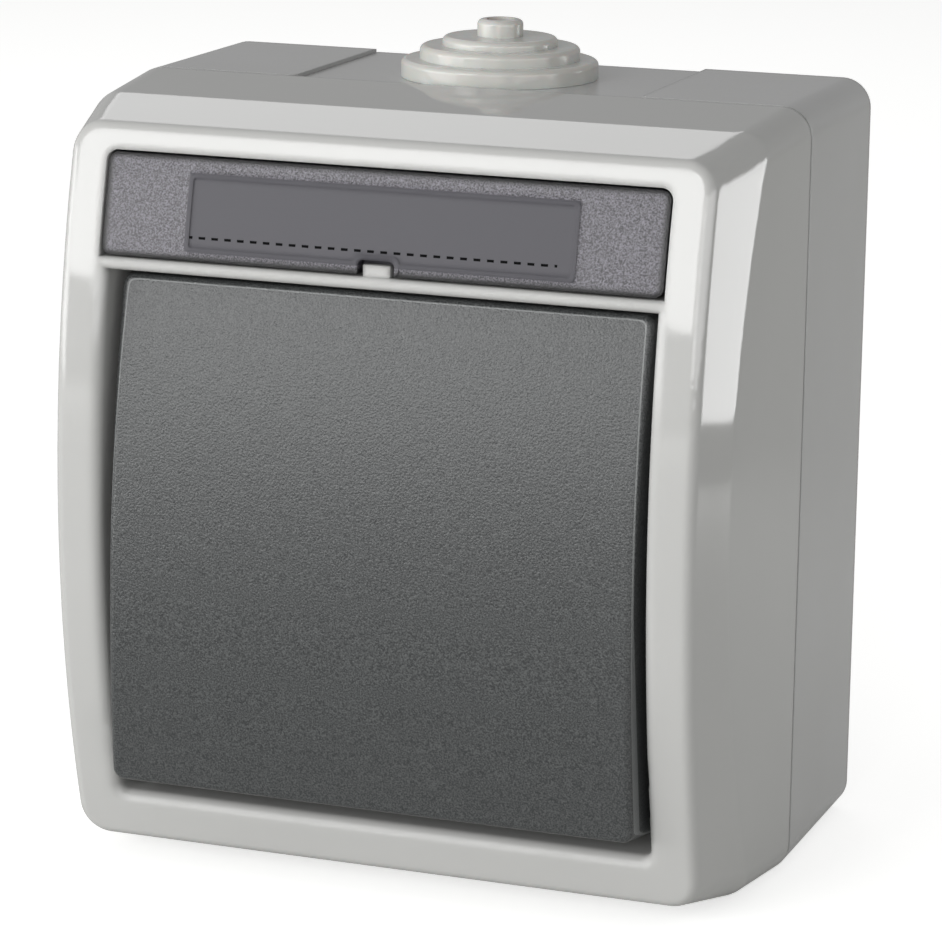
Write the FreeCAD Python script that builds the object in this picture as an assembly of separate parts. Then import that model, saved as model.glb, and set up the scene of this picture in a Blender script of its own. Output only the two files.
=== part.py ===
import FreeCAD, Part
import math
import os

from FreeCAD import Vector

# Outdoor weatherproof switch. Millimetres. The wall is the plane y = 0, the front looks to -Y,
# +Z is up, and the origin is the middle of the rear face.

# Housing
box_width = 72.0
box_height = 78.0
box_depth = 22.5
corner_radius = 3.0
wall = 2.2
back_wall = 2.0
seam_gap = 0.3
fit_gap = 0.05
overrun = 1.0
lip_height = 1.8
lip_setback = 1.2
lip_thickness = 1.0

# Front cover
cover_depth = 49.0
barrel_radius = 130.0
side_draft = 4.3
side_band_inset = 1.23
top_band_inset = 0.98
side_band_angle = 14.6
top_band_angle = 10.1
band_corner_radius = 3.4
front_crease_round = 1.2
side_crease_round = 4.0
rib_wall = 1.4

# Rocker opening and label pocket in the cover
side_frame = 4.6
bottom_frame = 5.0
top_frame = 2.5
well_corner = 1.0
tray_thickness = 1.8
well_edge_round = 1.1
crossbar_thickness = 1.2
window_height = 10.3
pocket_step = 0.75
pocket_corner = 1.2
pocket_room = 5.97
tab_width = 2.8
tab_height = 1.15
tab_thickness = 1.2
tab_setback = 0.6
aperture_half_x = 14.5
aperture_half_z = 13.0
aperture_corner = 2.0

# Label window, card and holder
window_gap = 0.25
window_setback = 0.2
window_thickness = 1.6
label_from_end = 8.95
label_height = 7.5
label_low = 0.8
label_rim = 0.45
label_rim_height = 0.12
pry_notch_width = 3.8
pry_notch_height = 1.4
pry_notch_corner = 0.6
card_thickness = 0.35
card_gap = 0.25
holder_thickness = 1.2

# Rocker and its hinge
rocker_side_gap = 1.1
rocker_end_gap = 1.6
rocker_drop = 0.1
rocker_flare = 0.9
rocker_skirt = 6.0
rocker_wall = 2.2
rocker_corner = 1.2
rocker_edge_round = 0.7
rocker_rib_depth = 4.5
rocker_rib_thickness = 1.2
rocker_rib_short = 2.0
rocker_tilt = 4.0
hinge_behind_rim = 7.6
hinge_pin_radius = 1.6
pin_clearance = 0.05

# Depths behind the hinge, as shares of the distance from the hinge to the insert's rear
well_floor_share = 0.1155
stem_share = 0.175
base_front_share = 0.2727
plunger_tip_share = 0.4265
blade_share = 0.46
chamber_share = 0.695

# Switch insert
base_width_share = 7 / 12
base_half_z = 20.0
base_rear = 4.2
base_corner = 1.5
chamber_half_x = 9.0
chamber_half_z = 11.0
cheek_share = 17 / 35
cheek_thickness = 2.4
cheek_half_z = 5.0
cheek_above_pin = 2.8
ear_thickness = 2.5
ear_half_z = 4.0
ear_screw_out = 4.0
ear_seat = 9.0
ear_reach = 3.6

# Terminals
strip_thickness = 0.8
strip_half_width = 2.0
strip_gap = 0.1
strip_end_gap = 0.3
terminal_chamber_half = 5.5
terminal_chamber_start = 12.5
terminal_chamber_length = 6.2
clamp_half = 3.0
clamp_height = 6.0
clamp_length = 5.0
wire_hole_radius = 1.6
terminal_screw_radius = 1.5
terminal_head_radius = 2.6
side_chamber_share = 67 / 105
tunnel_height = 5.0

# Contact blade and plunger
blade_half_x = 3.2
blade_half_z = 7.4
blade_thickness = 0.8
blade_tilt = 7.0
rivet_radius = 1.3
rivet_height = 0.7
rivet_offset = 6.2
rivet_gap = 0.3
knife_x = 2.2
knife_thickness = 0.8
plunger_radius = 1.55
plunger_travel = 0.5
bore_clearance = 0.05
bore_end_wall = 1.0
stem_radius = 3.3
spring_wire = 0.4
spring_turns = 5
spring_length = 3.5

# Rocker carrier
carrier_half_x = 7.9
carrier_half_z = 9.5
carrier_thickness = 2.0
carrier_above_pin = 2.6
arm_thickness = 1.4
arm_half_z = 3.0
leg_thickness = 1.6
leg_low_z = 4.5
leg_high_z = 8.5
leg_gap = 0.25
nib_height = 1.0
nib_reach = 1.45
nib_play = 0.1

# Gaiter and insulating plate
gaiter_flange = 3.0
gaiter_wall = 1.2
gaiter_height = 7.5
gaiter_skin = 0.8
gaiter_hole_x = 11.0
gaiter_hole_z = 10.2
plate_thickness = 1.15
plate_slot_x = 2.6
plate_slot_z = 3.4

# Screws, holes and plugs
wall_hole_share = 0.5078125
wall_hole_from_end = 20.0
wall_hole_radius = 2.3
collar_share = 0.421875
collar_height = 7.2
counterbore_wall = 1.2
counterbore_floor = 3.2
plug_thickness = 1.1
insert_screw_radius = 1.4
insert_head_radius = 3.0
cover_screw_from_side = 4.95
cover_screw_above_bar = 4.9
cover_screw_radius = 1.6
cover_head_radius = 2.9
head_height = 2.0
head_round_share = 0.45
boss_wall = 1.9
cross_width = 0.8
cross_depth = 1.0
cross_share = 0.62
insert_screw_bite = 6.0
cover_screw_bite = 10.0

# Cable entry
panel_half_x = 18.3
panel_setback = 0.3
panel_thickness = 3.4
panel_gap = 0.15
panel_flange = 2.0
rail_height = 1.3
rail_thickness = 2.4
notch_size = 0.7
notch_depth = 0.9
entry_front_room = 0.3
entry_rear_room = 2.0
entry_inside_ring = 1.7
second_ring_inside = 1.9
third_ring_inside = 4.2
nipple_radius = 2.35
ring_heights = (1.83, 1.37, 0.94, 1.73)
grommet_edge_round = 0.55
grommet_wall = 1.2
grommet_lock = 1.0
nipple_hole_radius = 1.45
nipple_hole_depth = 1.2
knockout_radius = 8.0
knockout_groove = 0.7

half_width = box_width / 2
half_height = box_height / 2
cover_rear = box_depth + seam_gap
barrel_axis_y = barrel_radius - cover_depth
draft_slope = math.tan(math.radians(side_draft))


def barrel_depth(z):
    """Depth of the cover's front at height z."""
    return math.sqrt(barrel_radius ** 2 - z ** 2) - barrel_axis_y


band_half_x = half_width - (cover_depth - cover_rear) * draft_slope - side_band_inset
band_half_z = half_height - (barrel_depth(half_height) - cover_rear) * draft_slope - top_band_inset
well_half_x = band_half_x - side_frame
well_low_z = bottom_frame - band_half_z
pocket_half_x = well_half_x + pocket_step
pocket_high_z = band_half_z - top_frame
pocket_low_z = pocket_high_z - window_height
pocket_floor = barrel_depth(pocket_high_z) - pocket_room
crossbar_low_z = pocket_low_z - crossbar_thickness
label_half_x = pocket_half_x - label_from_end

rocker_half_x = well_half_x - rocker_side_gap
rocker_end_z = (crossbar_low_z - well_low_z) / 2 - rocker_end_gap
rocker_mid_z = (well_low_z + crossbar_low_z) / 2 - rocker_drop
rocker_top_rim = barrel_depth(rocker_mid_z + rocker_end_z)
rocker_foot_rim = barrel_depth(rocker_mid_z - rocker_end_z)
rocker_rim = (rocker_top_rim + rocker_foot_rim) / 2 - rocker_skirt
hinge_depth = rocker_rim - hinge_behind_rim

hinge_reach = hinge_depth - base_rear
well_floor = hinge_depth - well_floor_share * hinge_reach
base_front = hinge_depth - base_front_share * hinge_reach
blade_pivot = hinge_depth - blade_share * hinge_reach
chamber_floor = hinge_depth - chamber_share * hinge_reach
plunger_tip = hinge_depth - plunger_tip_share * hinge_reach
stem_end = hinge_depth - stem_share * hinge_reach
bore_top = hinge_depth + carrier_above_pin + bore_end_wall
base_half_x = base_width_share * half_width
side_space = half_width - wall - base_half_x
side_chamber_start = side_chamber_share * base_half_x
cheek_inner_x = cheek_share * base_half_x
ear_screw_x = base_half_x + ear_screw_out
wall_hole_x = base_half_x + wall_hole_share * side_space
wall_hole_z = half_height - wall_hole_from_end
collar_radius = collar_share * side_space
counterbore_radius = collar_radius - counterbore_wall
cover_screw_x = pocket_half_x - cover_screw_from_side
cover_screw_z = pocket_low_z + cover_screw_above_bar
panel_top = half_height - panel_setback
ring_radius = (box_depth - entry_front_room - entry_rear_room) / 2
entry_radius = ring_radius - entry_inside_ring
entry_depth = entry_rear_room + ring_radius
ring_radii = (ring_radius, ring_radius - second_ring_inside, ring_radius - third_ring_inside, nipple_radius)
ahead = cover_depth + 5 * overrun
beyond = box_width


def block(x0, x1, d0, d1, z0, z1):
    """Box between two depths in front of the wall."""
    return Part.makeBox(x1 - x0, d1 - d0, z1 - z0, Vector(x0, -d1, z0))


def rod(radius, x, z, d0, d1):
    """Round bar along the depth."""
    return Part.makeCylinder(radius, d1 - d0, Vector(x, -d1, z), Vector(0, 1, 0))


def cross_bar(radius, x0, x1, depth, z):
    """Round bar along X."""
    return Part.makeCylinder(radius, x1 - x0, Vector(x0, -depth, z), Vector(1, 0, 0))


def upright_bar(radius, x, depth, z0, z1):
    """Round bar along Z."""
    return Part.makeCylinder(radius, z1 - z0, Vector(x, -depth, z0), Vector(0, 0, 1))


def rounded_outline(half_x, z0, z1, radius, depth):
    """Closed rounded rectangle facing the front."""
    lean = radius * (1 - math.sqrt(0.5))
    corners = ((half_x, z1, -1, -1), (half_x, z0, -1, 1), (-half_x, z0, 1, 1), (-half_x, z1, 1, -1))
    turns = []
    for number, (x, z, sx, sz) in enumerate(corners):
        beside = Vector(x + sx * radius, -depth, z)
        below = Vector(x, -depth, z + sz * radius)
        middle = Vector(x + sx * lean, -depth, z + sz * lean)
        ends = (beside, below) if number % 2 == 0 else (below, beside)
        turns.append((ends[0], middle, ends[1]))
    edges = []
    for number, (start, middle, end) in enumerate(turns):
        edges.append(Part.Arc(start, middle, end).toShape())
        edges.append(Part.makeLine(end, turns[(number + 1) % 4][0]))
    return Part.Wire(edges)


def rounded_block(half_x, z0, z1, radius, d0, d1):
    """Rounded rectangle carried straight from one depth to another."""
    face = Part.Face(rounded_outline(half_x, z0, z1, radius, d0))
    return face.extrude(Vector(0, d0 - d1, 0))


def tapered_block(half_x, half_z, radius, d0, d1):
    """Rounded rectangle that narrows towards the front by the draft angle."""
    narrowing = (d1 - d0) * draft_slope
    rear = rounded_outline(half_x, -half_z, half_z, radius, d0)
    front = rounded_outline(half_x - narrowing, narrowing - half_z, half_z - narrowing, radius, d1)
    return Part.makeLoft([rear, front], True, True)


def ring(half_x, z0, z1, radius, width, d0, d1):
    """Rounded frame of the given width, measured inwards."""
    outer = rounded_block(half_x, z0, z1, radius, d0, d1)
    inner_radius = max(radius - width, 0.3)
    inner = rounded_block(half_x - width, z0 + width, z1 - width, inner_radius, d0 - 1, d1 + 1)
    return outer.cut(inner)


def barrel(inset):
    """Solid behind the curved front, set back by the inset."""
    return cross_bar(barrel_radius - inset, -beyond, beyond, -barrel_axis_y, 0)


def edges_in(shape, test):
    """Edges whose middle passes the test."""
    chosen = []
    for edge in shape.Edges:
        middle = edge.valueAt((edge.FirstParameter + edge.LastParameter) / 2)
        if test(middle.x, -middle.y, middle.z):
            chosen.append(edge)
    return chosen


def tipped(shape):
    """Turn a piece that is drawn level into the position with the top pressed in."""
    turned = shape.copy()
    turned.rotate(Vector(0, -hinge_depth, rocker_mid_z), Vector(1, 0, 0), -rocker_tilt)
    return turned


def turned_to_x(shape):
    """Quarter turn about the insert's middle axis, from up to right."""
    turned = shape.copy()
    turned.rotate(Vector(0, 0, rocker_mid_z), Vector(0, 1, 0), 90)
    return turned


def band_form(inset):
    """Solid bounded by the slanted bands and the curved front."""
    front = cover_depth - inset
    rear = box_depth - 4 * overrun
    slope = math.tan(math.radians(side_band_angle))
    near_x = band_half_x - inset
    far_x = near_x + (front - rear) * slope
    outline = [Vector(-near_x, -front, 0), Vector(near_x, -front, 0), Vector(far_x, -rear, 0)]
    outline += [Vector(-far_x, -rear, 0), Vector(-near_x, -front, 0)]
    profile = Part.Face(Part.makePolygon(outline))
    swing = math.degrees(math.asin(half_height / (barrel_axis_y + rear))) + 1
    profile.rotate(Vector(0, barrel_axis_y, 0), Vector(1, 0, 0), -swing)
    swept = profile.revolve(Vector(0, barrel_axis_y, 0), Vector(1, 0, 0), 2 * swing)
    climb = math.tan(math.radians(top_band_angle))
    crease = barrel_depth(band_half_z)
    near_z = band_half_z - inset - (ahead - crease) * climb
    far_z = band_half_z - inset + (crease - rear) * climb
    side = [Vector(-beyond, -ahead, -near_z), Vector(-beyond, -ahead, near_z)]
    side += [Vector(-beyond, -rear, far_z), Vector(-beyond, -rear, -far_z), side[0]]
    crossed = Part.Face(Part.makePolygon(side)).extrude(Vector(2 * beyond, 0, 0))
    form = swept.common(crossed)

    def at_corner(x, depth, z):
        return abs(x) > near_x - 1 and abs(z) > near_z and rear + 1 < depth < front

    return form.makeFillet(max(band_corner_radius - inset, 1.0), edges_in(form, at_corner))


def cover_form(inset, rear):
    """Outer form of the cover, or with an inset the form of its hollow."""
    narrow = (cover_rear - rear) * draft_slope
    sides = tapered_block(half_width - inset + narrow, half_height - inset + narrow,
                          max(corner_radius - inset, 1.0), rear, ahead)
    return sides.common(band_form(inset))


def rocker_well():
    """Opening for the rocker, up to the label pocket: rounded at its foot, square at its top."""
    foot = rounded_block(well_half_x, well_low_z, crossbar_low_z - 1, well_corner, well_floor, ahead)
    return foot.fuse(block(-well_half_x, well_half_x, well_floor, ahead, 0, pocket_low_z)).removeSplitter()


def label_pocket():
    """Opening for the window: rounded at its top, square over the crossbar."""
    head = rounded_block(pocket_half_x, pocket_low_z + 1, pocket_high_z, pocket_corner, pocket_floor, ahead)
    foot = block(-pocket_half_x, pocket_half_x, pocket_floor, ahead, pocket_low_z, pocket_high_z - 3)
    return head.fuse(foot).removeSplitter()


def softened(form):
    """Round the crease round the sides, then the one round the front."""

    def on_side_crease(x, depth, z):
        return cover_rear + 1 < depth < barrel_depth(z) - 2

    def on_front_crease(x, depth, z):
        at_edge = abs(x) > band_half_x - 2 or abs(z) > band_half_z - 2
        return abs(depth - barrel_depth(z)) < 0.05 and at_edge

    creases = []
    for edge in edges_in(form, on_side_crease):
        run = edge.valueAt(edge.LastParameter) - edge.valueAt(edge.FirstParameter)
        if abs(run.y) < max(abs(run.x), abs(run.z)):
            creases.append(edge)
    form = form.makeFillet(side_crease_round, creases)
    return form.makeFillet(front_crease_round, edges_in(form, on_front_crease))


def crossbar_nose():
    """Rounded front edge of the bar between window and rocker, running into the frame."""
    radius = crossbar_thickness / 2
    z = crossbar_low_z + radius
    reach = well_half_x + well_edge_round
    return cross_bar(radius, -reach, reach, barrel_depth(z) - radius - fit_gap, z)


def hollow_form():
    """Space inside the cover, round the walls of the two openings."""
    hollow = cover_form(wall, cover_rear - 2 * overrun)
    well_walls = rounded_block(well_half_x + rib_wall, well_low_z - rib_wall, crossbar_low_z + rib_wall,
                               well_corner + rib_wall, well_floor - tray_thickness, ahead)
    pocket_walls = rounded_block(pocket_half_x + rib_wall, pocket_low_z - rib_wall,
                                 pocket_high_z + rib_wall, pocket_corner + rib_wall,
                                 pocket_floor - tray_thickness, ahead)
    return hollow.cut(well_walls.fuse(pocket_walls))


def with_crossbar(shell):
    """Add the bar between window and rocker, and the tab under the window's notch."""
    nose_depth = barrel_depth(crossbar_low_z) - crossbar_thickness / 2
    root_x = well_half_x + well_edge_round / 2
    root_depth = well_floor - tray_thickness / 2
    bar = block(-root_x, root_x, root_depth, nose_depth, crossbar_low_z, pocket_low_z)
    bar = bar.common(cover_form(0, cover_rear))
    tab_front = barrel_depth(pocket_low_z) - tab_setback
    tab = block(-tab_width / 2, tab_width / 2, tab_front - tab_thickness, tab_front,
                crossbar_low_z + crossbar_thickness / 2, pocket_low_z + tab_height)
    return shell.fuse(bar).fuse(crossbar_nose()).fuse(tab)


def front_cover():
    shell = softened(cover_form(0, cover_rear)).cut(hollow_form()).cut(rocker_well())

    def on_well_edge(x, depth, z):
        on_front = abs(depth - barrel_depth(z)) < 0.02
        at_side = abs(abs(x) - well_half_x) < 0.35 and z < crossbar_low_z - 1
        at_foot = z < well_low_z + 0.35 and abs(x) < well_half_x + 0.1
        return on_front and (at_side or at_foot)

    shell = shell.makeFillet(well_edge_round, edges_in(shell, on_well_edge)).cut(label_pocket())
    shell = with_crossbar(shell)
    shell = shell.cut(rounded_block(aperture_half_x, rocker_mid_z - aperture_half_z,
                                    rocker_mid_z + aperture_half_z, aperture_corner,
                                    well_floor - tray_thickness - overrun, well_floor + overrun))
    rebate = lip_setback - 2 * fit_gap
    shell = shell.cut(rounded_block(half_width - rebate, rebate - half_height, half_height - rebate,
                                    corner_radius - rebate, cover_rear - overrun,
                                    box_depth + lip_height + lip_thickness + 2 * fit_gap))
    for side in (-1, 1):
        shell = shell.fuse(rod(cover_screw_radius + boss_wall, side * cover_screw_x, cover_screw_z,
                               cover_rear, pocket_floor - tray_thickness / 2))
    for side in (-1, 1):
        shell = shell.cut(rod(cover_screw_radius + 4 * fit_gap, side * cover_screw_x, cover_screw_z,
                              cover_rear - overrun, pocket_floor + overrun))
    return shell


def box_walls():
    """Rear half of the housing with its lip, before anything stands in it."""
    shell = rounded_block(half_width, -half_height, half_height, corner_radius, 0, box_depth)
    inner_x = half_width - wall
    inner_z = half_height - wall
    shell = shell.cut(rounded_block(inner_x, -inner_z, inner_z, corner_radius - 1, back_wall,
                                    box_depth + overrun))
    lip_z = half_height - lip_setback
    return shell.fuse(ring(half_width - lip_setback, -lip_z, lip_z, corner_radius - lip_setback,
                           lip_thickness, box_depth - overrun / 2, box_depth + lip_height))


def box_posts():
    """Screw posts and wall hole collars, each as radius, x, z and front."""
    posts = []
    for side in (-1, 1):
        posts.append((insert_screw_radius + boss_wall, side * ear_screw_x, rocker_mid_z, ear_seat))
        posts.append((cover_screw_radius + boss_wall, side * cover_screw_x, cover_screw_z, box_depth))
        for level in (-1, 1):
            posts.append((collar_radius, side * wall_hole_x, level * wall_hole_z, collar_height))
    return posts


def box_bores():
    """Holes in the posts, each as radius, x, z, rear and front."""
    bores = []
    for side in (-1, 1):
        bores.append((insert_screw_radius, side * ear_screw_x, rocker_mid_z,
                      ear_seat - insert_screw_bite, ear_seat + overrun))
        bores.append((cover_screw_radius, side * cover_screw_x, cover_screw_z,
                      box_depth - cover_screw_bite, box_depth + overrun))
        for level in (-1, 1):
            x = side * wall_hole_x
            z = level * wall_hole_z
            bores.append((wall_hole_radius, x, z, -overrun, collar_height + overrun))
            bores.append((counterbore_radius, x, z, counterbore_floor, collar_height + overrun))
    return bores


def panel_rail(side):
    """Ledge and web that hold the entry panel at one side."""
    top = panel_top - panel_thickness - fit_gap
    x = side * (panel_half_x + panel_flange / 2 + 0.6)
    half = rail_thickness / 2
    ledge = block(x - half, x + half, back_wall - 0.5, box_depth - 2, top - rail_height, top)
    x = side * (panel_half_x + panel_flange + 0.6)
    web = block(x - 0.5, x + 0.5, back_wall - 0.5, box_depth - 2, top - rail_height,
                half_height - wall + 0.5)
    return ledge.fuse(web)


def seam_notch(x, way):
    """Small triangle at the seam where a line of the entry panel meets it."""
    corners = [Vector(x, -box_depth + notch_size, 0), Vector(x, -box_depth - overrun, 0)]
    corners.append(Vector(x + way * (notch_size + overrun), -box_depth - overrun, 0))
    prism = Part.Face(Part.makePolygon(corners + corners[:1])).extrude(Vector(0, 0, notch_depth + overrun))
    prism.translate(Vector(0, 0, half_height - notch_depth))
    return prism


def back_box():
    shell = box_walls()
    for radius, x, z, front in box_posts():
        shell = shell.fuse(rod(radius, x, z, back_wall - 0.5, front))
    for side in (-1, 1):
        shell = shell.fuse(panel_rail(side))
    for radius, x, z, rear, front in box_bores():
        shell = shell.cut(rod(radius, x, z, rear, front))
    shell = shell.cut(block(-panel_half_x, panel_half_x, -overrun, box_depth + lip_height + overrun,
                            half_height - wall - fit_gap, half_height + overrun))
    for side in (-1, 1):
        shell = shell.cut(seam_notch(side * panel_half_x, side))
    groove = upright_bar(knockout_radius + knockout_groove, 0, entry_depth,
                         -half_height - overrun, -half_height + knockout_groove)
    disc = upright_bar(knockout_radius, 0, entry_depth, -half_height - 2 * overrun, -half_height + overrun)
    return shell.cut(groove.cut(disc))


def cover_gasket():
    inset = lip_setback + fit_gap
    start = box_depth + lip_height + fit_gap
    return ring(half_width - inset, inset - half_height, half_height - inset,
                corner_radius - inset, lip_thickness - 2 * fit_gap, start, start + lip_thickness - fit_gap)


def entry_panel():
    inner_z = half_height - wall
    half = panel_half_x - panel_gap
    low = panel_top - panel_thickness
    front = box_depth - fit_gap
    panel = block(-half, half, 0, front, inner_z, panel_top)
    flange_x = panel_half_x + panel_flange - 2 * fit_gap
    panel = panel.fuse(block(-flange_x, flange_x, back_wall + fit_gap, front, low, inner_z - fit_gap))
    panel = panel.fuse(block(-half, half, back_wall + fit_gap, front, low, inner_z + 0.5))
    lip_z = half_height - lip_setback
    panel = panel.fuse(block(-half, half, box_depth - overrun, box_depth + lip_height,
                             lip_z - lip_thickness, lip_z))
    for side in (-1, 1):
        notch = seam_notch(side * half, -side)
        panel = panel.cut(notch.common(block(-half, half, 0, front, inner_z, half_height)))
    return panel.cut(upright_bar(entry_radius, 0, entry_depth, low - overrun, panel_top + overrun))


def ring_stack(base):
    """Stepped outside of the grommet, each ring with a rounded rim."""
    body = None
    level = base
    for radius, height in zip(ring_radii, ring_heights):
        step = upright_bar(radius, 0, entry_depth, level, level + height)
        top = level + height

        def on_rim(x, depth, z):
            return abs(z - top) < 0.01

        step = step.makeFillet(grommet_edge_round, edges_in(step, on_rim)[:1])
        if body is None:
            body = step
        else:
            root = upright_bar(radius - 0.3, 0, entry_depth, level - 0.4, level + 0.4)
            body = body.fuse(step).fuse(root)
        level = top
    return body


def cable_grommet():
    base = panel_top + 0.02
    foot = panel_top - panel_thickness - fit_gap
    neck_radius = entry_radius - 2 * fit_gap
    body = ring_stack(base).fuse(upright_bar(neck_radius, 0, entry_depth, foot - grommet_wall, base + 0.5))
    body = body.fuse(upright_bar(neck_radius + grommet_lock, 0, entry_depth, foot - grommet_wall, foot))
    hollow = upright_bar(neck_radius - grommet_wall, 0, entry_depth, foot - grommet_wall - overrun, base)
    level = base - 0.1
    for next_radius, height in zip(ring_radii[1:3], ring_heights):
        hollow = hollow.fuse(upright_bar(next_radius - grommet_wall, 0, entry_depth, level, level + height))
        level = level + height
    tip = base + sum(ring_heights)
    nipple_hole = upright_bar(nipple_hole_radius, 0, entry_depth, tip - nipple_hole_depth, tip + overrun)
    return body.cut(hollow).cut(nipple_hole)


def window_outline(shrink, d0, d1):
    gap = window_gap + shrink
    return rounded_block(pocket_half_x - gap, pocket_low_z + gap, pocket_high_z - gap,
                         pocket_corner - window_gap, d0, d1)


def label_window():
    front = window_setback
    sheet = window_outline(0, pocket_floor, cover_depth + 3)
    sheet = sheet.common(barrel(front)).cut(barrel(front + window_thickness))
    low = pocket_low_z + window_gap + label_low
    rim = ring(label_half_x, low, low + label_height, 0.6, label_rim, pocket_floor, cover_depth + 3)
    notch_low = pocket_low_z + window_gap
    arch = rounded_block(pry_notch_width / 2 + label_rim, notch_low,
                         notch_low + pry_notch_height + label_rim,
                         pry_notch_corner, pocket_floor, cover_depth + 3)
    raised = rim.fuse(arch).common(barrel(front - label_rim_height)).cut(barrel(front + 0.3))
    notch = rounded_block(pry_notch_width / 2, notch_low - 3, notch_low + pry_notch_height, pry_notch_corner,
                          pocket_floor, cover_depth + 3)
    sheet = sheet.fuse(raised).cut(notch)
    for side in (-1, 1):
        x = side * (pocket_half_x - window_gap - 0.7)
        leg = block(x - 0.5, x + 0.5, pocket_floor + 1, cover_depth, cover_screw_z - 2, cover_screw_z + 2)
        sheet = sheet.fuse(leg.common(barrel(front + window_thickness - 0.3)))
    return sheet


def label_card():
    front = window_setback + window_thickness + card_gap
    low = pocket_low_z + window_gap + label_low
    sheet = rounded_block(label_half_x + 0.4, low - 0.2, low + label_height + 0.2, 0.4,
                          pocket_floor, cover_depth)
    return sheet.common(barrel(front)).cut(barrel(front + card_thickness))


def label_holder():
    front = window_setback + window_thickness + card_gap + card_thickness + fit_gap
    plate = window_outline(0.1, pocket_floor - 1, cover_depth)
    plate = plate.common(barrel(front)).cut(barrel(front + holder_thickness))
    for side in (-1, 1):
        x = side * (pocket_half_x - window_gap - 0.7)
        plate = plate.cut(block(x - 1.0, x + 1.0, pocket_floor - 2, cover_depth,
                                cover_screw_z - 2.5, cover_screw_z + 2.5))
        foot_x = side * label_half_x * 0.55
        foot = block(foot_x - 1.5, foot_x + 1.5, pocket_floor + fit_gap, cover_depth,
                     pocket_low_z + 1.0, pocket_high_z - 1.0)
        plate = plate.fuse(foot.common(barrel(front + holder_thickness - 0.3)))
    return plate


def rocker_shell(inset):
    """Rocker cap, drawn level; an inset gives its hollow."""
    front = ahead
    rear = rocker_rim - (overrun if inset else 0)
    flare = rocker_flare * (front - rear) / (barrel_depth(rocker_mid_z) - rocker_rim)
    half_x = rocker_half_x + rocker_flare - inset
    half_z = rocker_end_z + rocker_flare / 2 - inset
    outer = rounded_outline(half_x, rocker_mid_z - half_z, rocker_mid_z + half_z, rocker_corner, rear)
    half_x = half_x - flare
    half_z = half_z - flare / 2
    inner = rounded_outline(half_x, rocker_mid_z - half_z, rocker_mid_z + half_z, rocker_corner, front)
    cap = Part.makeLoft([outer, inner], True, True)
    crown = cross_bar(barrel_radius - inset, -beyond, beyond,
                      barrel_depth(rocker_mid_z) - barrel_radius, rocker_mid_z)
    return cap.common(crown)


def rocker():
    solid = rocker_shell(0)

    def on_front_edge(x, depth, z):
        return depth > rocker_rim + 1 and (abs(x) < rocker_half_x + 1 and
                                           abs(depth - rocker_front(z)) < 0.02)

    solid = solid.makeFillet(rocker_edge_round, edges_in(solid, on_front_edge))
    solid = solid.cut(rocker_shell(rocker_wall))
    for side in (-1, 1):
        for low, high in ((leg_low_z, leg_high_z), (-leg_high_z, -leg_low_z)):
            solid = solid.fuse(rocker_leg(side, low, high))
    half = rocker_half_x - rocker_rib_short
    for level in (-1, 1):
        z = rocker_mid_z + level * leg_low_z
        solid = solid.fuse(block(-half, half, cover_depth - rocker_rib_depth, cover_depth - 1,
                                 z - rocker_rib_thickness / 2, z + rocker_rib_thickness / 2))
    return tipped(solid.common(rocker_envelope()))


def rocker_leg(side, low, high):
    """Springy leg with the nib that snaps behind the carrier."""
    back = hinge_depth + carrier_above_pin - nib_play
    inner_x = carrier_half_x + leg_gap
    start = min(side * inner_x, side * (inner_x + leg_thickness))
    leg = block(start, start + leg_thickness, back - nib_height, cover_depth - 1,
                rocker_mid_z + low, rocker_mid_z + high)
    tip_x = inner_x - leg_gap - 0.7
    reach = min(side * tip_x, side * (tip_x + nib_reach))
    nib = block(reach, reach + nib_reach, back - nib_height, back, rocker_mid_z + low, rocker_mid_z + high)
    return leg.fuse(nib)


def rocker_front(z):
    """Depth of the level rocker's front at height z."""
    rise = z - rocker_mid_z
    return math.sqrt(barrel_radius ** 2 - rise ** 2) - barrel_radius + barrel_depth(rocker_mid_z)


def rocker_envelope():
    """Space that the level rocker may fill, used to trim its inner ribs."""
    behind = block(-rocker_half_x, rocker_half_x, 0, rocker_rim + 0.5, -half_height, half_height)
    return rocker_shell(0).fuse(behind)


def rocker_carrier():
    z = rocker_mid_z
    plate_rear = hinge_depth + carrier_above_pin
    body = block(-carrier_half_x, carrier_half_x, plate_rear, plate_rear + carrier_thickness,
                 z - carrier_half_z, z + carrier_half_z)
    body = body.fuse(rod(stem_radius, 0, z, stem_end, plate_rear + 0.5))
    for side in (-1, 1):
        start = min(side * carrier_half_x, side * (carrier_half_x - arm_thickness))
        arm = block(start, start + arm_thickness, hinge_depth - 1.0, plate_rear + 0.5,
                    z - arm_half_z, z + arm_half_z)
        arm = arm.fuse(cross_bar(arm_half_z, start, start + arm_thickness, hinge_depth - 1.0, z))
        shoulder_end = side * (cheek_inner_x - 0.3)
        near = min(side * carrier_half_x, shoulder_end)
        far = max(side * carrier_half_x, shoulder_end)
        shoulder = cross_bar(hinge_pin_radius + 1.0, near, far, hinge_depth, z)
        pin_end = side * (cheek_inner_x + cheek_thickness - 0.2)
        near = min(side * (carrier_half_x - 0.5), pin_end)
        far = max(side * (carrier_half_x - 0.5), pin_end)
        pin = cross_bar(hinge_pin_radius, near, far, hinge_depth, z)
        body = body.fuse(arm).fuse(shoulder).fuse(pin)
    body = body.cut(rod(plunger_radius + bore_clearance, 0, z, stem_end - overrun, bore_top))
    return tipped(body)


def plunger():
    ball_radius = plunger_radius - fit_gap
    front = bore_top - spring_length - plunger_travel - 4 * fit_gap
    body = rod(plunger_radius, 0, rocker_mid_z, plunger_tip + ball_radius, front)
    ball = Part.makeSphere(ball_radius, Vector(0, -(plunger_tip + ball_radius), rocker_mid_z))
    return tipped(body.fuse(ball))


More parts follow.
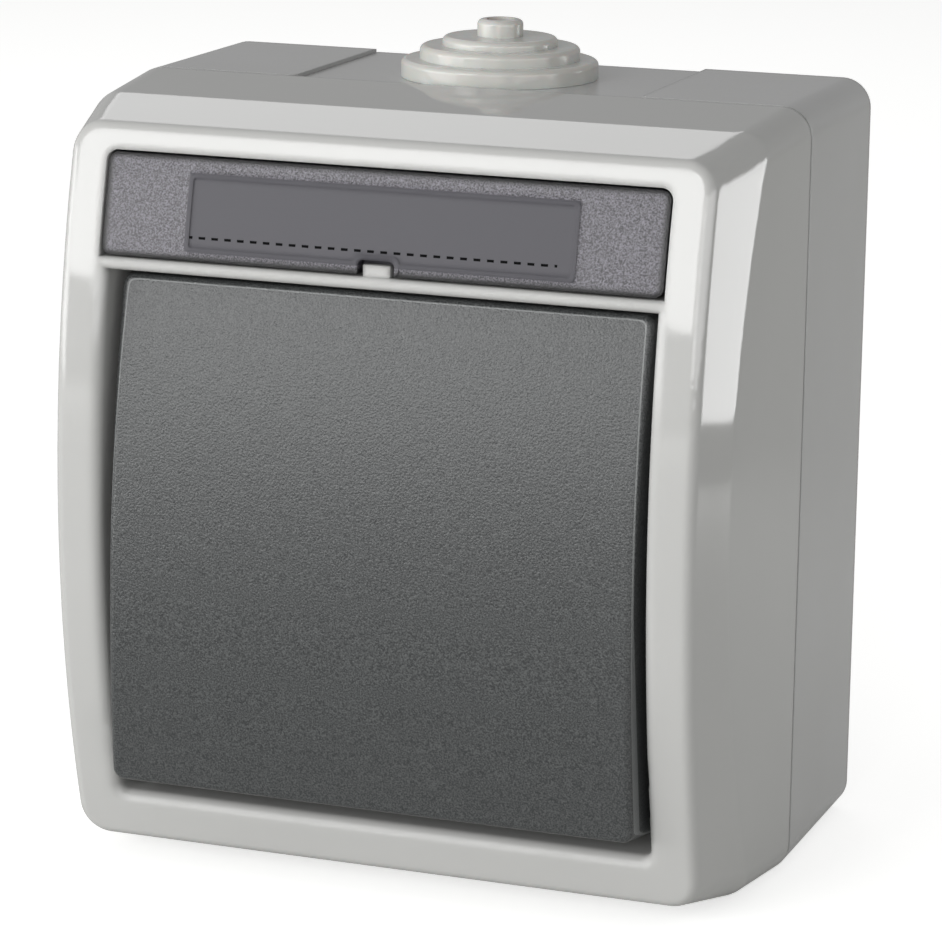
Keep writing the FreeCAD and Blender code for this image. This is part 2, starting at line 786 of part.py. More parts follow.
def plunger_spring():
    mean_radius = plunger_radius - spring_wire / 2 - 0.1
    height = spring_length - spring_wire - 2 * fit_gap
    helix = Part.makeHelix(height / spring_turns, height, mean_radius)
    section = Part.Wire(Part.makeCircle(spring_wire / 2, Vector(mean_radius, 0, 0), Vector(0, 1, 0)))
    coil = Part.Wire(helix.Edges).makePipeShell([section], True, True)
    coil.rotate(Vector(0, 0, 0), Vector(1, 0, 0), -90)
    start = bore_top - fit_gap - spring_wire / 2
    coil.translate(Vector(0, -start, rocker_mid_z))
    return tipped(coil)


def terminal_cuts():
    """Chamber, slot and wire hole for the terminal above the contacts."""
    z = rocker_mid_z
    start = terminal_chamber_start
    chamber = block(-terminal_chamber_half, terminal_chamber_half, chamber_floor, base_front + 1,
                    z + start, z + start + terminal_chamber_length)
    slot = block(-strip_half_width - 0.2, strip_half_width + 0.2, chamber_floor, base_front + 1,
                 z + chamber_half_z - 0.5, z + start + 0.5)
    wire = upright_bar(wire_hole_radius, 0, wire_depth(), z + start + 1, z + base_half_z + 1)
    return chamber.fuse(slot).fuse(wire)


def wire_depth():
    """Depth of the wire hole's axis."""
    return chamber_floor + strip_gap + strip_thickness + 0.3 + wire_hole_radius


def side_terminal_cuts():
    """Chamber, tunnel and wire hole for the common terminal, beside the contacts."""
    z = rocker_mid_z
    start = side_chamber_start
    chamber = block(start, start + terminal_chamber_length, chamber_floor, base_front + 1,
                    z - terminal_chamber_half, z + terminal_chamber_half)
    tunnel = block(chamber_half_x - 0.5, start + 0.5, chamber_floor, chamber_floor + tunnel_height,
                   z - strip_half_width - 0.2, z + strip_half_width + 0.2)
    wire = cross_bar(wire_hole_radius, start + 1, base_half_x + 1, wire_depth(), z)
    return chamber.fuse(tunnel).fuse(wire)


def switch_base():
    z = rocker_mid_z
    body = rounded_block(base_half_x, z - base_half_z, z + base_half_z, base_corner, base_rear, base_front)
    for side in (-1, 1):
        near = min(side * (base_half_x - 1), side * (ear_screw_x + ear_reach))
        far = max(side * (base_half_x - 1), side * (ear_screw_x + ear_reach))
        body = body.fuse(block(near, far, ear_seat, ear_seat + ear_thickness,
                               z - ear_half_z, z + ear_half_z))
        near = min(side * cheek_inner_x, side * (cheek_inner_x + cheek_thickness))
        cheek = block(near, near + cheek_thickness, base_front - 0.5, hinge_depth,
                      z - cheek_half_z, z + cheek_half_z)
        head = cross_bar(cheek_above_pin + 1.0, near, near + cheek_thickness, hinge_depth - 1.0, z)
        body = body.fuse(cheek.fuse(head))
    body = body.cut(block(-chamber_half_x, chamber_half_x, chamber_floor, base_front + overrun,
                          z - chamber_half_z, z + chamber_half_z))
    body = body.cut(terminal_cuts())
    mirrored = terminal_cuts().mirror(Vector(0, 0, z), Vector(0, 0, 1))
    body = body.cut(mirrored).cut(side_terminal_cuts())
    for side in (-1, 1):
        body = body.cut(rod(insert_screw_radius + 0.2, side * ear_screw_x, z, ear_seat - 1,
                            ear_seat + ear_thickness + 1))
        near = min(side * (cheek_inner_x - 1), side * (cheek_inner_x + cheek_thickness + 1))
        body = body.cut(cross_bar(hinge_pin_radius + pin_clearance, near, near + cheek_thickness + 2,
                                  hinge_depth, z))
    return body


def mechanism_cover():
    z = rocker_mid_z
    plate = block(-cheek_inner_x + 0.3, cheek_inner_x - 0.3, base_front + fit_gap,
                  base_front + fit_gap + plate_thickness, z - chamber_half_z - 1, z + chamber_half_z + 1)
    return plate.cut(block(-plate_slot_x, plate_slot_x, base_front - 1, base_front + 3,
                           z - plate_slot_z, z + plate_slot_z))


def closed_rivet_depth():
    """Front of the fixed contact that the tilted blade closes on."""
    swing = math.sin(math.radians(blade_tilt)) * rivet_offset
    return blade_pivot - rivet_height - swing - rivet_gap


def upper_terminal():
    z = rocker_mid_z
    half = strip_half_width
    floor = chamber_floor + strip_gap
    seat = closed_rivet_depth() - rivet_height
    outer = z + rivet_offset + 2 * rivet_radius
    inner = outer - strip_thickness
    end = z + terminal_chamber_start + terminal_chamber_length - strip_end_gap
    platform = block(-half, half, seat - strip_thickness, seat, z + rivet_offset - 1.7, outer)
    riser = block(-half, half, floor, seat, inner, outer)
    run = block(-half, half, floor, floor + strip_thickness, inner, end)
    return platform.fuse(riser).fuse(run)


def lower_terminal():
    return upper_terminal().mirror(Vector(0, 0, rocker_mid_z), Vector(0, 0, 1))


def knife_edge(x):
    """Tapered upstand that the blade rocks on."""
    z = rocker_mid_z
    floor = chamber_floor + strip_gap
    top = blade_pivot - blade_thickness / 2 + 0.3
    corners = [Vector(x, -floor, z - 1.5), Vector(x, -floor, z + 1.5), Vector(x, -top, z + 0.2)]
    corners += [Vector(x, -top, z - 0.2), Vector(x, -floor, z - 1.5)]
    return Part.Face(Part.makePolygon(corners)).extrude(Vector(knife_thickness, 0, 0))


def common_terminal():
    z = rocker_mid_z
    floor = chamber_floor + strip_gap
    strip = block(-knife_x - knife_thickness, side_chamber_start + terminal_chamber_length - strip_end_gap,
                  floor, floor + strip_thickness, z - 1.9, z + 1.9)
    return strip.fuse(knife_edge(knife_x)).fuse(knife_edge(-knife_x - knife_thickness))


def over_terminals(make):
    """One solid over each of the three terminals."""
    above = make()
    below = above.mirror(Vector(0, 0, rocker_mid_z), Vector(0, 0, 1))
    beside = turned_to_x(above)
    beside.translate(Vector(side_chamber_start - terminal_chamber_start, 0, 0))
    return Part.makeCompound([above, below, beside])


def clamp():
    z = rocker_mid_z + terminal_chamber_start + (terminal_chamber_length - clamp_length) / 2
    rear = chamber_floor + strip_gap + strip_thickness + fit_gap
    body = block(-clamp_half, clamp_half, rear, rear + clamp_height, z, z + clamp_length)
    body = body.cut(upright_bar(wire_hole_radius, 0, wire_depth(), z - 1, z + clamp_length + 1))
    return body.cut(rod(terminal_screw_radius + fit_gap, 0, z + clamp_length / 2, wire_depth(), base_front))


def terminal_screw():
    z = rocker_mid_z + terminal_chamber_start + terminal_chamber_length / 2
    seat = chamber_floor + strip_gap + strip_thickness + fit_gap + clamp_height + 0.3
    shank = rod(terminal_screw_radius, 0, z, wire_depth() + wire_hole_radius, seat + 0.5)
    head = rod(terminal_head_radius, 0, z, seat, seat + head_height)
    return slotted(shank.fuse(head), 0, z, seat + head_height, terminal_head_radius)


def slotted(screw, x, z, face, radius):
    """Cut a straight slot into a screw's head."""
    return screw.cut(block(x - cross_width / 2, x + cross_width / 2, face - cross_depth, face + 1,
                           z - radius - 1, z + radius + 1))


def crossed(screw, x, z, face, radius):
    """Cut a cross recess into a screw's head."""
    reach = radius * cross_share
    half = cross_width / 2
    upright = block(x - half, x + half, face - cross_depth, face + 1, z - reach, z + reach)
    level = block(x - reach, x + reach, face - cross_depth, face + 1, z - half, z + half)
    return screw.cut(upright.fuse(level))


def pan_head(radius, x, z, seat):
    """Screw head with a rounded top."""
    head = rod(radius, x, z, seat, seat + head_height)

    def on_top(mx, depth, mz):
        return abs(depth - seat - head_height) < 0.01

    return head.makeFillet(head_height * head_round_share, edges_in(head, on_top)[:1])


def insert_screws():
    screws = []
    seat = ear_seat + ear_thickness + fit_gap
    for side in (-1, 1):
        x = side * ear_screw_x
        head = pan_head(insert_head_radius, x, rocker_mid_z, seat)
        end = ear_seat - insert_screw_bite + 1
        shank = rod(insert_screw_radius - fit_gap, x, rocker_mid_z, end, seat + 0.5)
        screws.append(crossed(head.fuse(shank), x, rocker_mid_z, seat + head_height, insert_head_radius))
    return Part.makeCompound(screws)


def cover_screws():
    screws = []
    seat = pocket_floor + fit_gap
    for side in (-1, 1):
        x = side * cover_screw_x
        head = pan_head(cover_head_radius, x, cover_screw_z, seat)
        end = box_depth - cover_screw_bite + 1
        shank = rod(cover_screw_radius - fit_gap, x, cover_screw_z, end, seat + 0.5)
        screws.append(crossed(head.fuse(shank), x, cover_screw_z, seat + head_height, cover_head_radius))
    return Part.makeCompound(screws)


def wall_hole_plugs():
    plugs = []
    for side in (-1, 1):
        for level in (-1, 1):
            x = side * wall_hole_x
            z = level * wall_hole_z
            face = collar_height + fit_gap
            disc = rod(collar_radius - 0.2, x, z, face, face + plug_thickness)
            stem = rod(counterbore_radius - fit_gap, x, z, collar_height - 1.0, face + 0.5)
            plugs.append(disc.fuse(stem))
    return Part.makeCompound(plugs)


def contact_blade():
    z = rocker_mid_z
    front = blade_pivot + blade_thickness / 2 + 0.45
    plate = block(-blade_half_x, blade_half_x, front - blade_thickness, front,
                  z - blade_half_z, z + blade_half_z)
    return rocked(plate)


def blade_contacts():
    rear = blade_pivot + 0.05
    rivets = []
    for level in (-1, 1):
        rivets.append(rocked(rod(rivet_radius, 0, rocker_mid_z + level * rivet_offset,
                                 rear - rivet_height, rear)))
    return Part.makeCompound(rivets)


def rocked(shape):
    """Tilt a level blade piece onto the lower contact."""
    turned = shape.copy()
    turned.rotate(Vector(0, -blade_pivot, rocker_mid_z), Vector(1, 0, 0), blade_tilt)
    return turned


def fixed_contacts():
    front = closed_rivet_depth()
    rivets = []
    for level in (-1, 1):
        rivets.append(rod(rivet_radius, 0, rocker_mid_z + level * rivet_offset,
                          front - rivet_height, front))
    return Part.makeCompound(rivets)


def rocker_seal():
    z = rocker_mid_z
    outer_x = aperture_half_x + gaiter_wall - 0.2
    outer_z = aperture_half_z + gaiter_wall - 0.2
    front = well_floor + gaiter_height
    flange = ring(outer_x + gaiter_flange, z - outer_z - gaiter_flange, z + outer_z + gaiter_flange, 3.0,
                  gaiter_flange + gaiter_wall, well_floor + fit_gap, well_floor + fit_gap + gaiter_wall)
    sleeve = ring(outer_x, z - outer_z, z + outer_z, 2.5, gaiter_wall, well_floor + fit_gap, front)
    skin = rounded_block(outer_x, z - outer_z, z + outer_z, 2.5, front - gaiter_skin, front)
    skin = skin.cut(rounded_block(gaiter_hole_x, z - gaiter_hole_z, z + gaiter_hole_z, 1.5,
                                  front - 2, front + 1))
    return flange.fuse(sleeve).fuse(skin)


def clamps():
    return over_terminals(clamp)


def terminal_screws():
    return over_terminals(terminal_screw)


pieces = {
    "back_box": back_box,
    "entry_panel": entry_panel,
    "cable_grommet": cable_grommet,
    "cover_gasket": cover_gasket,
    "front_cover": front_cover,
    "label_window": label_window,
    "label_card": label_card,
    "label_holder": label_holder,
    "rocker": rocker,
    "rocker_carrier": rocker_carrier,
    "rocker_seal": rocker_seal,
    "plunger": plunger,
    "plunger_spring": plunger_spring,
    "switch_base": switch_base,
    "mechanism_cover": mechanism_cover,
    "contact_blade": contact_blade,
    "blade_contacts": blade_contacts,
    "fixed_contacts": fixed_contacts,
    "upper_terminal": upper_terminal,
    "lower_terminal": lower_terminal,
    "common_terminal": common_terminal,
    "terminal_clamps": clamps,
    "terminal_screws": terminal_screws,
    "insert_screws": insert_screws,
    "cover_screws": cover_screws,
    "wall_hole_plugs": wall_hole_plugs,
}

os.makedirs("parts", exist_ok=True)
for name, make in pieces.items():
    shape = make()
    print(name, "solids", len(shape.Solids), "valid", shape.isValid(), "volume", round(shape.Volume, 1))
    shape.exportStep("parts/" + name + ".step")
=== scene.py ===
import math

import bmesh
import bpy
from mathutils import Matrix, Vector


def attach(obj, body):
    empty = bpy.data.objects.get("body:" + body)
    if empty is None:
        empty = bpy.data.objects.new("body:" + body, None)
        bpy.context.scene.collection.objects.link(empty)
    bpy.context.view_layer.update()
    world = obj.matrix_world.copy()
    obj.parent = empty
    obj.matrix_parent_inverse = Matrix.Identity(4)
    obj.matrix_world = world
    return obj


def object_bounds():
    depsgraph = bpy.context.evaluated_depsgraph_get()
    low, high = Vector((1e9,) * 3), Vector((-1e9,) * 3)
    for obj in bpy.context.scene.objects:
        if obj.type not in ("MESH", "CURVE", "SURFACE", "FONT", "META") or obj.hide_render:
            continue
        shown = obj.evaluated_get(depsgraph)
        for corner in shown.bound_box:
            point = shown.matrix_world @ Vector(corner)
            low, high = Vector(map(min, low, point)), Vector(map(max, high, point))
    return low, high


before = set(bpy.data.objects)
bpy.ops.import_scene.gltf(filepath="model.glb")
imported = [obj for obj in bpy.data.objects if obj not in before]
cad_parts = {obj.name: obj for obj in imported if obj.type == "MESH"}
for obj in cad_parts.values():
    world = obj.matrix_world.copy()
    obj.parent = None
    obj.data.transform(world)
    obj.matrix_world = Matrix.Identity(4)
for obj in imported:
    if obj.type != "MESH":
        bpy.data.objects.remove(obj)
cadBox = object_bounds()
mm = 0.001


# Nodes and patterns

def hexToLinear(code):
    channels = [int(code[i:i + 2], 16) / 255 for i in (1, 3, 5)]
    linear = [c / 12.92 if c <= 0.04045 else ((c + 0.055) / 1.055) ** 2.4 for c in channels]
    return (*linear, 1.0)


def addNode(tree, kind, inputs=None, **settings):
    node = tree.nodes.new(kind)
    for name, value in settings.items():
        setattr(node, name, value)
    for socket, value in (inputs or {}).items():
        if isinstance(value, bpy.types.NodeSocket):
            tree.links.new(value, node.inputs[socket])
        else:
            node.inputs[socket].default_value = value
    return node


def newMaterial(name):
    material = bpy.data.materials.new(name)
    material.use_nodes = True
    material.node_tree.nodes.clear()
    place = addNode(material.node_tree, "ShaderNodeTexCoord").outputs["Object"]
    return material, material.node_tree, place


def repeatsFor(sizeMm):
    # a texture of scale 1 repeats about once a metre here, so this gives a grain of the wanted size
    return 1 / (sizeMm * mm)


def insideRectangle(tree, place, area):
    # 1 inside the rectangle on the front, 0 outside, fading over the soft edge
    axes = addNode(tree, "ShaderNodeSeparateXYZ", {"Vector": place}).outputs
    middleZ = (area["lowZ"] + area["highZ"]) / 2
    halfZ = (area["highZ"] - area["lowZ"]) / 2
    across = addNode(tree, "ShaderNodeMath", {0: axes["X"]}, operation="ABSOLUTE").outputs["Value"]
    fromMiddle = addNode(tree, "ShaderNodeMath", {0: axes["Z"], 1: middleZ * mm}, operation="SUBTRACT")
    upright = addNode(tree, "ShaderNodeMath", {0: fromMiddle.outputs["Value"]}, operation="ABSOLUTE")
    sides = []
    for distance, limit in ((across, area["halfX"]), (upright.outputs["Value"], halfZ)):
        inside = addNode(tree, "ShaderNodeMapRange",
                         {"Value": distance, "From Min": (limit - area["soft"]) * mm,
                          "From Max": (limit + area["soft"]) * mm, "To Min": 1.0, "To Max": 0.0})
        sides.append(inside.outputs["Result"])
    both = addNode(tree, "ShaderNodeMath", {0: sides[0], 1: sides[1]}, operation="MULTIPLY")
    return both.outputs["Value"]


# Materials

def mouldedPlastic(name, settings):
    # injection moulded plastic: one colour right through, with a polished or eroded skin
    material, tree, place = newMaterial(name)
    clouds = addNode(tree, "ShaderNodeTexNoise",
                     {"Vector": place, "Scale": repeatsFor(settings["cloudMm"]), "Detail": 2.0})
    skin = addNode(tree, "ShaderNodeTexNoise",
                   {"Vector": place, "Scale": repeatsFor(settings["grainMm"]), "Detail": 3.0})
    colour = addNode(tree, "ShaderNodeMix",
                     {0: clouds.outputs["Fac"], "A": hexToLinear(settings["dark"]),
                      "B": hexToLinear(settings["light"])}, data_type="RGBA")
    sheen = addNode(tree, "ShaderNodeMapRange",
                    {"Value": skin.outputs["Fac"],
                     "To Min": settings["roughness"] - settings["roughnessSwing"],
                     "To Max": settings["roughness"] + settings["roughnessSwing"]})
    bump = addNode(tree, "ShaderNodeBump",
                   {"Height": skin.outputs["Fac"], "Strength": settings["bump"],
                    "Distance": settings["grainDepthMm"] * mm})
    if "edgeMm" in settings:
        # moulded edges are never knife sharp: this bends the light over them as a small radius does
        radius = settings["edgeMm"] * mm
        if "openings" in settings:
            wider = insideRectangle(tree, place, settings["openings"])
            radius = addNode(tree, "ShaderNodeMapRange",
                             {"Value": wider, "To Min": settings["edgeMm"] * mm,
                              "To Max": settings["openingEdgeMm"] * mm}).outputs["Result"]
        edges = addNode(tree, "ShaderNodeBevel", {"Radius": radius}, samples=4)
        tree.links.new(edges.outputs["Normal"], bump.inputs["Normal"])
    shader = addNode(tree, "ShaderNodeBsdfPrincipled",
                     {"Base Color": colour.outputs["Result"], "Roughness": sheen.outputs["Result"],
                      "IOR": settings["ior"], "Normal": bump.outputs["Normal"],
                      **settings.get("sockets", {})})
    addNode(tree, "ShaderNodeOutputMaterial", {"Surface": shader.outputs["BSDF"]})
    return material


# Glossy ABS, moulded in a polished tool: pale silver grey with clear softbox reflections, and
# wider rounds at the openings for rocker and window
glossyAbs = mouldedPlastic("glossyAbs", {
    "dark": "#b6b6b4", "light": "#bcbcba", "cloudMm": 22,
    "grainMm": 3.0, "grainDepthMm": 0.002, "bump": 0.1,
    "roughness": 0.055, "roughnessSwing": 0.01, "ior": 1.53, "edgeMm": 0.45,
    "openings": {"halfX": 30.6, "lowZ": -33.5, "highZ": 35.6, "soft": 0.3}, "openingEdgeMm": 1.1})

# ABS with a fine eroded skin: the same grey, flatter, on the box behind the seam
satinAbs = mouldedPlastic("satinAbs", {
    "dark": "#b2b2b0", "light": "#bababa", "cloudMm": 18,
    "grainMm": 0.35, "grainDepthMm": 0.004, "bump": 0.25,
    "roughness": 0.15, "roughnessSwing": 0.03, "ior": 1.53, "edgeMm": 0.9})

# Soft PVC rubber: paler than the box, slightly see-through at its thin rims, wet-looking
palePvc = mouldedPlastic("palePvc", {
    "dark": "#bebeb9", "light": "#cacac5", "cloudMm": 8,
    "grainMm": 1.2, "grainDepthMm": 0.01, "bump": 0.15,
    "roughness": 0.2, "roughnessSwing": 0.05, "ior": 1.5,
    "sockets": {"Subsurface Weight": 0.2, "Subsurface Scale": 0.002}})

# Silicone rubber for the seals: mid grey and dull
sealSilicone = mouldedPlastic("sealSilicone", {
    "dark": "#5c5d5e", "light": "#666768", "cloudMm": 9,
    "grainMm": 0.5, "grainDepthMm": 0.02, "bump": 0.2,
    "roughness": 0.6, "roughnessSwing": 0.08, "ior": 1.43})

# Glass-filled PA for the insert: off-white, faintly mottled by the fibres
whitePa = mouldedPlastic("whitePa", {
    "dark": "#cfccc2", "light": "#dedbd2", "cloudMm": 6,
    "grainMm": 0.4, "grainDepthMm": 0.02, "bump": 0.25,
    "roughness": 0.42, "roughnessSwing": 0.08, "ior": 1.53})

# POM for the sliding pusher: milky white with a waxy shine
whitePom = mouldedPlastic("whitePom", {
    "dark": "#e4e3de", "light": "#edece8", "cloudMm": 5,
    "grainMm": 0.6, "grainDepthMm": 0.005, "bump": 0.1,
    "roughness": 0.28, "roughnessSwing": 0.04, "ior": 1.48})

# Hard paper plate over the contacts: brown, fibrous
hardPaper = mouldedPlastic("hardPaper", {
    "dark": "#6d4a2e", "light": "#8a6340", "cloudMm": 3,
    "grainMm": 0.3, "grainDepthMm": 0.02, "bump": 0.3,
    "roughness": 0.5, "roughnessSwing": 0.08, "ior": 1.5})

# Dark ABS for the tray behind the window
greyAbs = mouldedPlastic("greyAbs", {
    "dark": "#4d4d52", "light": "#57575c", "cloudMm": 10,
    "grainMm": 0.4, "grainDepthMm": 0.02, "bump": 0.25,
    "roughness": 0.4, "roughnessSwing": 0.06, "ior": 1.53})

# Printed card: matt charcoal paper with a little tooth
charcoalCard = mouldedPlastic("charcoalCard", {
    "dark": "#4a494f", "light": "#525157", "cloudMm": 4,
    "grainMm": 0.2, "grainDepthMm": 0.015, "bump": 0.3,
    "roughness": 0.7, "roughnessSwing": 0.06, "ior": 1.45})

# Black printing ink on the label: matt
blackInk = mouldedPlastic("blackInk", {
    "dark": "#060607", "light": "#0c0c0e", "cloudMm": 2,
    "grainMm": 0.1, "grainDepthMm": 0.002, "bump": 0.1,
    "roughness": 0.8, "roughnessSwing": 0.05, "ior": 1.45,
    "sockets": {"Specular IOR Level": 0.1}})


def platedMetal(name, settings):
    # stamped or turned metal: fine drawing marks along its height and a slight tarnish
    drawing = {"squeeze": (1.0, 1.0, 8.0), "bump": 0.2, "depthMm": 0.01}
    material, tree, place = newMaterial(name)
    along = addNode(tree, "ShaderNodeMapping", {"Vector": place, "Scale": drawing["squeeze"]})
    marks = addNode(tree, "ShaderNodeTexNoise",
                    {"Vector": along.outputs["Vector"], "Scale": repeatsFor(settings["markMm"]),
                     "Detail": 4.0})
    tarnish = addNode(tree, "ShaderNodeTexNoise",
                      {"Vector": place, "Scale": repeatsFor(settings["tarnishMm"]), "Detail": 2.0})
    colour = addNode(tree, "ShaderNodeMix",
                     {0: tarnish.outputs["Fac"], "A": hexToLinear(settings["dark"]),
                      "B": hexToLinear(settings["light"])}, data_type="RGBA")
    sheen = addNode(tree, "ShaderNodeMapRange",
                    {"Value": marks.outputs["Fac"], "To Min": settings["smooth"],
                     "To Max": settings["rough"]})
    bump = addNode(tree, "ShaderNodeBump",
                   {"Height": marks.outputs["Fac"], "Strength": drawing["bump"],
                    "Distance": drawing["depthMm"] * mm})
    shader = addNode(tree, "ShaderNodeBsdfPrincipled",
                     {"Base Color": colour.outputs["Result"], "Metallic": 1.0,
                      "Roughness": sheen.outputs["Result"], "Normal": bump.outputs["Normal"]})
    addNode(tree, "ShaderNodeOutputMaterial", {"Surface": shader.outputs["BSDF"]})
    return material


# Zinc-plated steel: cool, pale and slightly clouded, on springs and screws
zincSteel = platedMetal("zincSteel", {"dark": "#a9abae", "light": "#c6c8ca", "markMm": 0.4,
                                      "tarnishMm": 3, "smooth": 0.22, "rough": 0.4})
# Rolled brass strip: warm yellow with fine rolling marks
rolledBrass = platedMetal("rolledBrass", {"dark": "#b08d4c", "light": "#cdaa62", "markMm": 0.5,
                                          "tarnishMm": 4, "smooth": 0.2, "rough": 0.38})
# Silver contact alloy: the palest metal, a little warm
silverAlloy = platedMetal("silverAlloy", {"dark": "#c2c1bc", "light": "#dedcd6", "markMm": 0.3,
                                          "tarnishMm": 1.5, "smooth": 0.18, "rough": 0.34})


def paintedRockerRimHighlight(tree, place, rim):
    # 1 on a hairline just inside the rocker's top and side edges, 0 elsewhere: the place of a painted
    # highlight standing in for light caught by the edge; its sides lean outwards
    axes = addNode(tree, "ShaderNodeSeparateXYZ", {"Vector": place}).outputs
    across = addNode(tree, "ShaderNodeMath", {0: axes["X"]}, operation="ABSOLUTE")
    leaning = addNode(tree, "ShaderNodeMath",
                      {0: axes["Z"], 1: rim["lean"], 2: across.outputs["Value"]},
                      operation="MULTIPLY_ADD")
    past = []
    for distance, limit in ((leaning.outputs["Value"], rim["sideX"]), (axes["Z"], rim["topZ"])):
        beyond = addNode(tree, "ShaderNodeMath", {0: distance, 1: limit * mm}, operation="SUBTRACT")
        past.append(beyond.outputs["Value"])
    outline = addNode(tree, "ShaderNodeMath", {0: past[0], 1: past[1], 2: rim["corner"] * mm},
                      operation="SMOOTH_MAX")
    line = addNode(tree, "ShaderNodeMath",
                   {0: outline.outputs["Value"], 1: 0.0, 2: rim["halfWide"] * mm},
                   operation="COMPARE")
    return line.outputs["Value"]


def grainedRockerAbs():
    # ABS moulded on an eroded tool: dark grey, with pin-point glints where the grain catches light; the
    # lighter grain tops are partly painted glints, and a painted highlight lines the top and side rims
    settings = {"dark": "#2c2e2f", "light": "#505252", "rimHighlight": "#747676",
                "grainMm": 0.16, "pebbleMm": 0.22, "grainDepthMm": 0.03, "bump": 0.9,
                "pitsBelow": 0.35, "topsAbove": 0.68,
                "roughness": 0.36, "roughnessSwing": 0.06, "ior": 1.53}
    rim = {"sideX": 26.98, "lean": 0.0177, "topZ": 21.35, "corner": 1.2, "halfWide": 0.07}
    material, tree, place = newMaterial("grainedAbs")
    fine = addNode(tree, "ShaderNodeTexNoise",
                   {"Vector": place, "Scale": repeatsFor(settings["grainMm"]), "Detail": 1.0})
    pebbles = addNode(tree, "ShaderNodeTexVoronoi",
                      {"Vector": place, "Scale": repeatsFor(settings["pebbleMm"])}, feature="SMOOTH_F1")
    tops = addNode(tree, "ShaderNodeMapRange",
                   {"Value": fine.outputs["Fac"], "From Min": settings["pitsBelow"],
                    "From Max": settings["topsAbove"]})
    # lighter grain tops: random grain tone, partly painted glints
    grainAndPaintedGlints = addNode(tree, "ShaderNodeMix",
                      {0: tops.outputs["Result"], "A": hexToLinear(settings["dark"]),
                       "B": hexToLinear(settings["light"])}, data_type="RGBA")
    # painted highlight: a lighter hairline along the rocker's top and side rims, in place of light caught
    # by the rounded edge
    colour = addNode(tree, "ShaderNodeMix",
                     {0: paintedRockerRimHighlight(tree, place, rim), "A": grainAndPaintedGlints.outputs["Result"],
                      "B": hexToLinear(settings["rimHighlight"])}, data_type="RGBA")
    sheen = addNode(tree, "ShaderNodeMapRange",
                    {"Value": fine.outputs["Fac"],
                     "To Min": settings["roughness"] - settings["roughnessSwing"],
                     "To Max": settings["roughness"] + settings["roughnessSwing"]})
    height = addNode(tree, "ShaderNodeMath",
                     {0: fine.outputs["Fac"], 1: pebbles.outputs["Distance"]}, operation="SUBTRACT")
    bump = addNode(tree, "ShaderNodeBump",
                   {"Height": height.outputs["Value"], "Strength": settings["bump"],
                    "Distance": settings["grainDepthMm"] * mm})
    shader = addNode(tree, "ShaderNodeBsdfPrincipled",
                     {"Base Color": colour.outputs["Result"], "Roughness": sheen.outputs["Result"],
                      "IOR": settings["ior"], "Normal": bump.outputs["Normal"]})
    addNode(tree, "ShaderNodeOutputMaterial", {"Surface": shader.outputs["BSDF"]})
    return material


def smokedPolycarbonate():
    # smoked polycarbonate: grained at the ends, where lighter grain tops are partly painted sparkle,
    # smooth over the label, with painted shade darkening its rim
    settings = {"grainDark": "#29272d", "grainGlintTone": "#7b7882", "clear": "#38363f", "rim": "#141316",
                "grainMm": 0.18, "grainDepthMm": 0.05, "edgeMm": 0.8,
                "pitsBelow": 0.35, "topsAbove": 0.7,
                "grainedBump": 1.0, "clearBump": 0.12,
                "grainedRoughness": 0.38, "clearRoughness": 0.5, "ior": 1.58, "seeThrough": 0.15}
    label = {"halfX": 20.0, "lowZ": 24.75, "highZ": 32.25, "soft": 0.05}
    face = {"halfX": 28.2, "lowZ": 24.4, "highZ": 33.3, "soft": 0.25}
    material, tree, place = newMaterial("smokedPolycarbonate")
    smooth = insideRectangle(tree, place, label)
    grain = addNode(tree, "ShaderNodeTexNoise",
                    {"Vector": place, "Scale": repeatsFor(settings["grainMm"]), "Detail": 1.0})
    tops = addNode(tree, "ShaderNodeMapRange",
                   {"Value": grain.outputs["Fac"], "From Min": settings["pitsBelow"],
                    "From Max": settings["topsAbove"]})
    # lighter grain tops: random grain tone, partly painted sparkle
    grainAndPaintedGlints = addNode(tree, "ShaderNodeMix",
                      {0: tops.outputs["Result"], "A": hexToLinear(settings["grainDark"]),
                       "B": hexToLinear(settings["grainGlintTone"])}, data_type="RGBA")
    body = addNode(tree, "ShaderNodeMix",
                   {0: smooth, "A": grainAndPaintedGlints.outputs["Result"], "B": hexToLinear(settings["clear"])},
                   data_type="RGBA")
    # painted shade: outside the face area the rim colour darkens the window's slanted edge
    colour = addNode(tree, "ShaderNodeMix",
                     {0: insideRectangle(tree, place, face), "A": hexToLinear(settings["rim"]),
                      "B": body.outputs["Result"]}, data_type="RGBA")
    tooth = addNode(tree, "ShaderNodeMapRange",
                    {"Value": smooth, "To Min": settings["grainedBump"], "To Max": settings["clearBump"]})
    sheen = addNode(tree, "ShaderNodeMapRange",
                    {"Value": smooth, "To Min": settings["grainedRoughness"],
                     "To Max": settings["clearRoughness"]})
    edges = addNode(tree, "ShaderNodeBevel", {"Radius": settings["edgeMm"] * mm}, samples=4)
    bump = addNode(tree, "ShaderNodeBump",
                   {"Height": grain.outputs["Fac"], "Strength": tooth.outputs["Result"],
                    "Distance": settings["grainDepthMm"] * mm, "Normal": edges.outputs["Normal"]})
    shader = addNode(tree, "ShaderNodeBsdfPrincipled",
                     {"Base Color": colour.outputs["Result"], "Roughness": sheen.outputs["Result"],
                      "IOR": settings["ior"], "Transmission Weight": settings["seeThrough"],
                      "Normal": bump.outputs["Normal"]})
    addNode(tree, "ShaderNodeOutputMaterial", {"Surface": shader.outputs["BSDF"]})
    return material


grainedAbs = grainedRockerAbs()
smokedPc = smokedPolycarbonate()
print("materials made")

# Finish of the CAD nodes

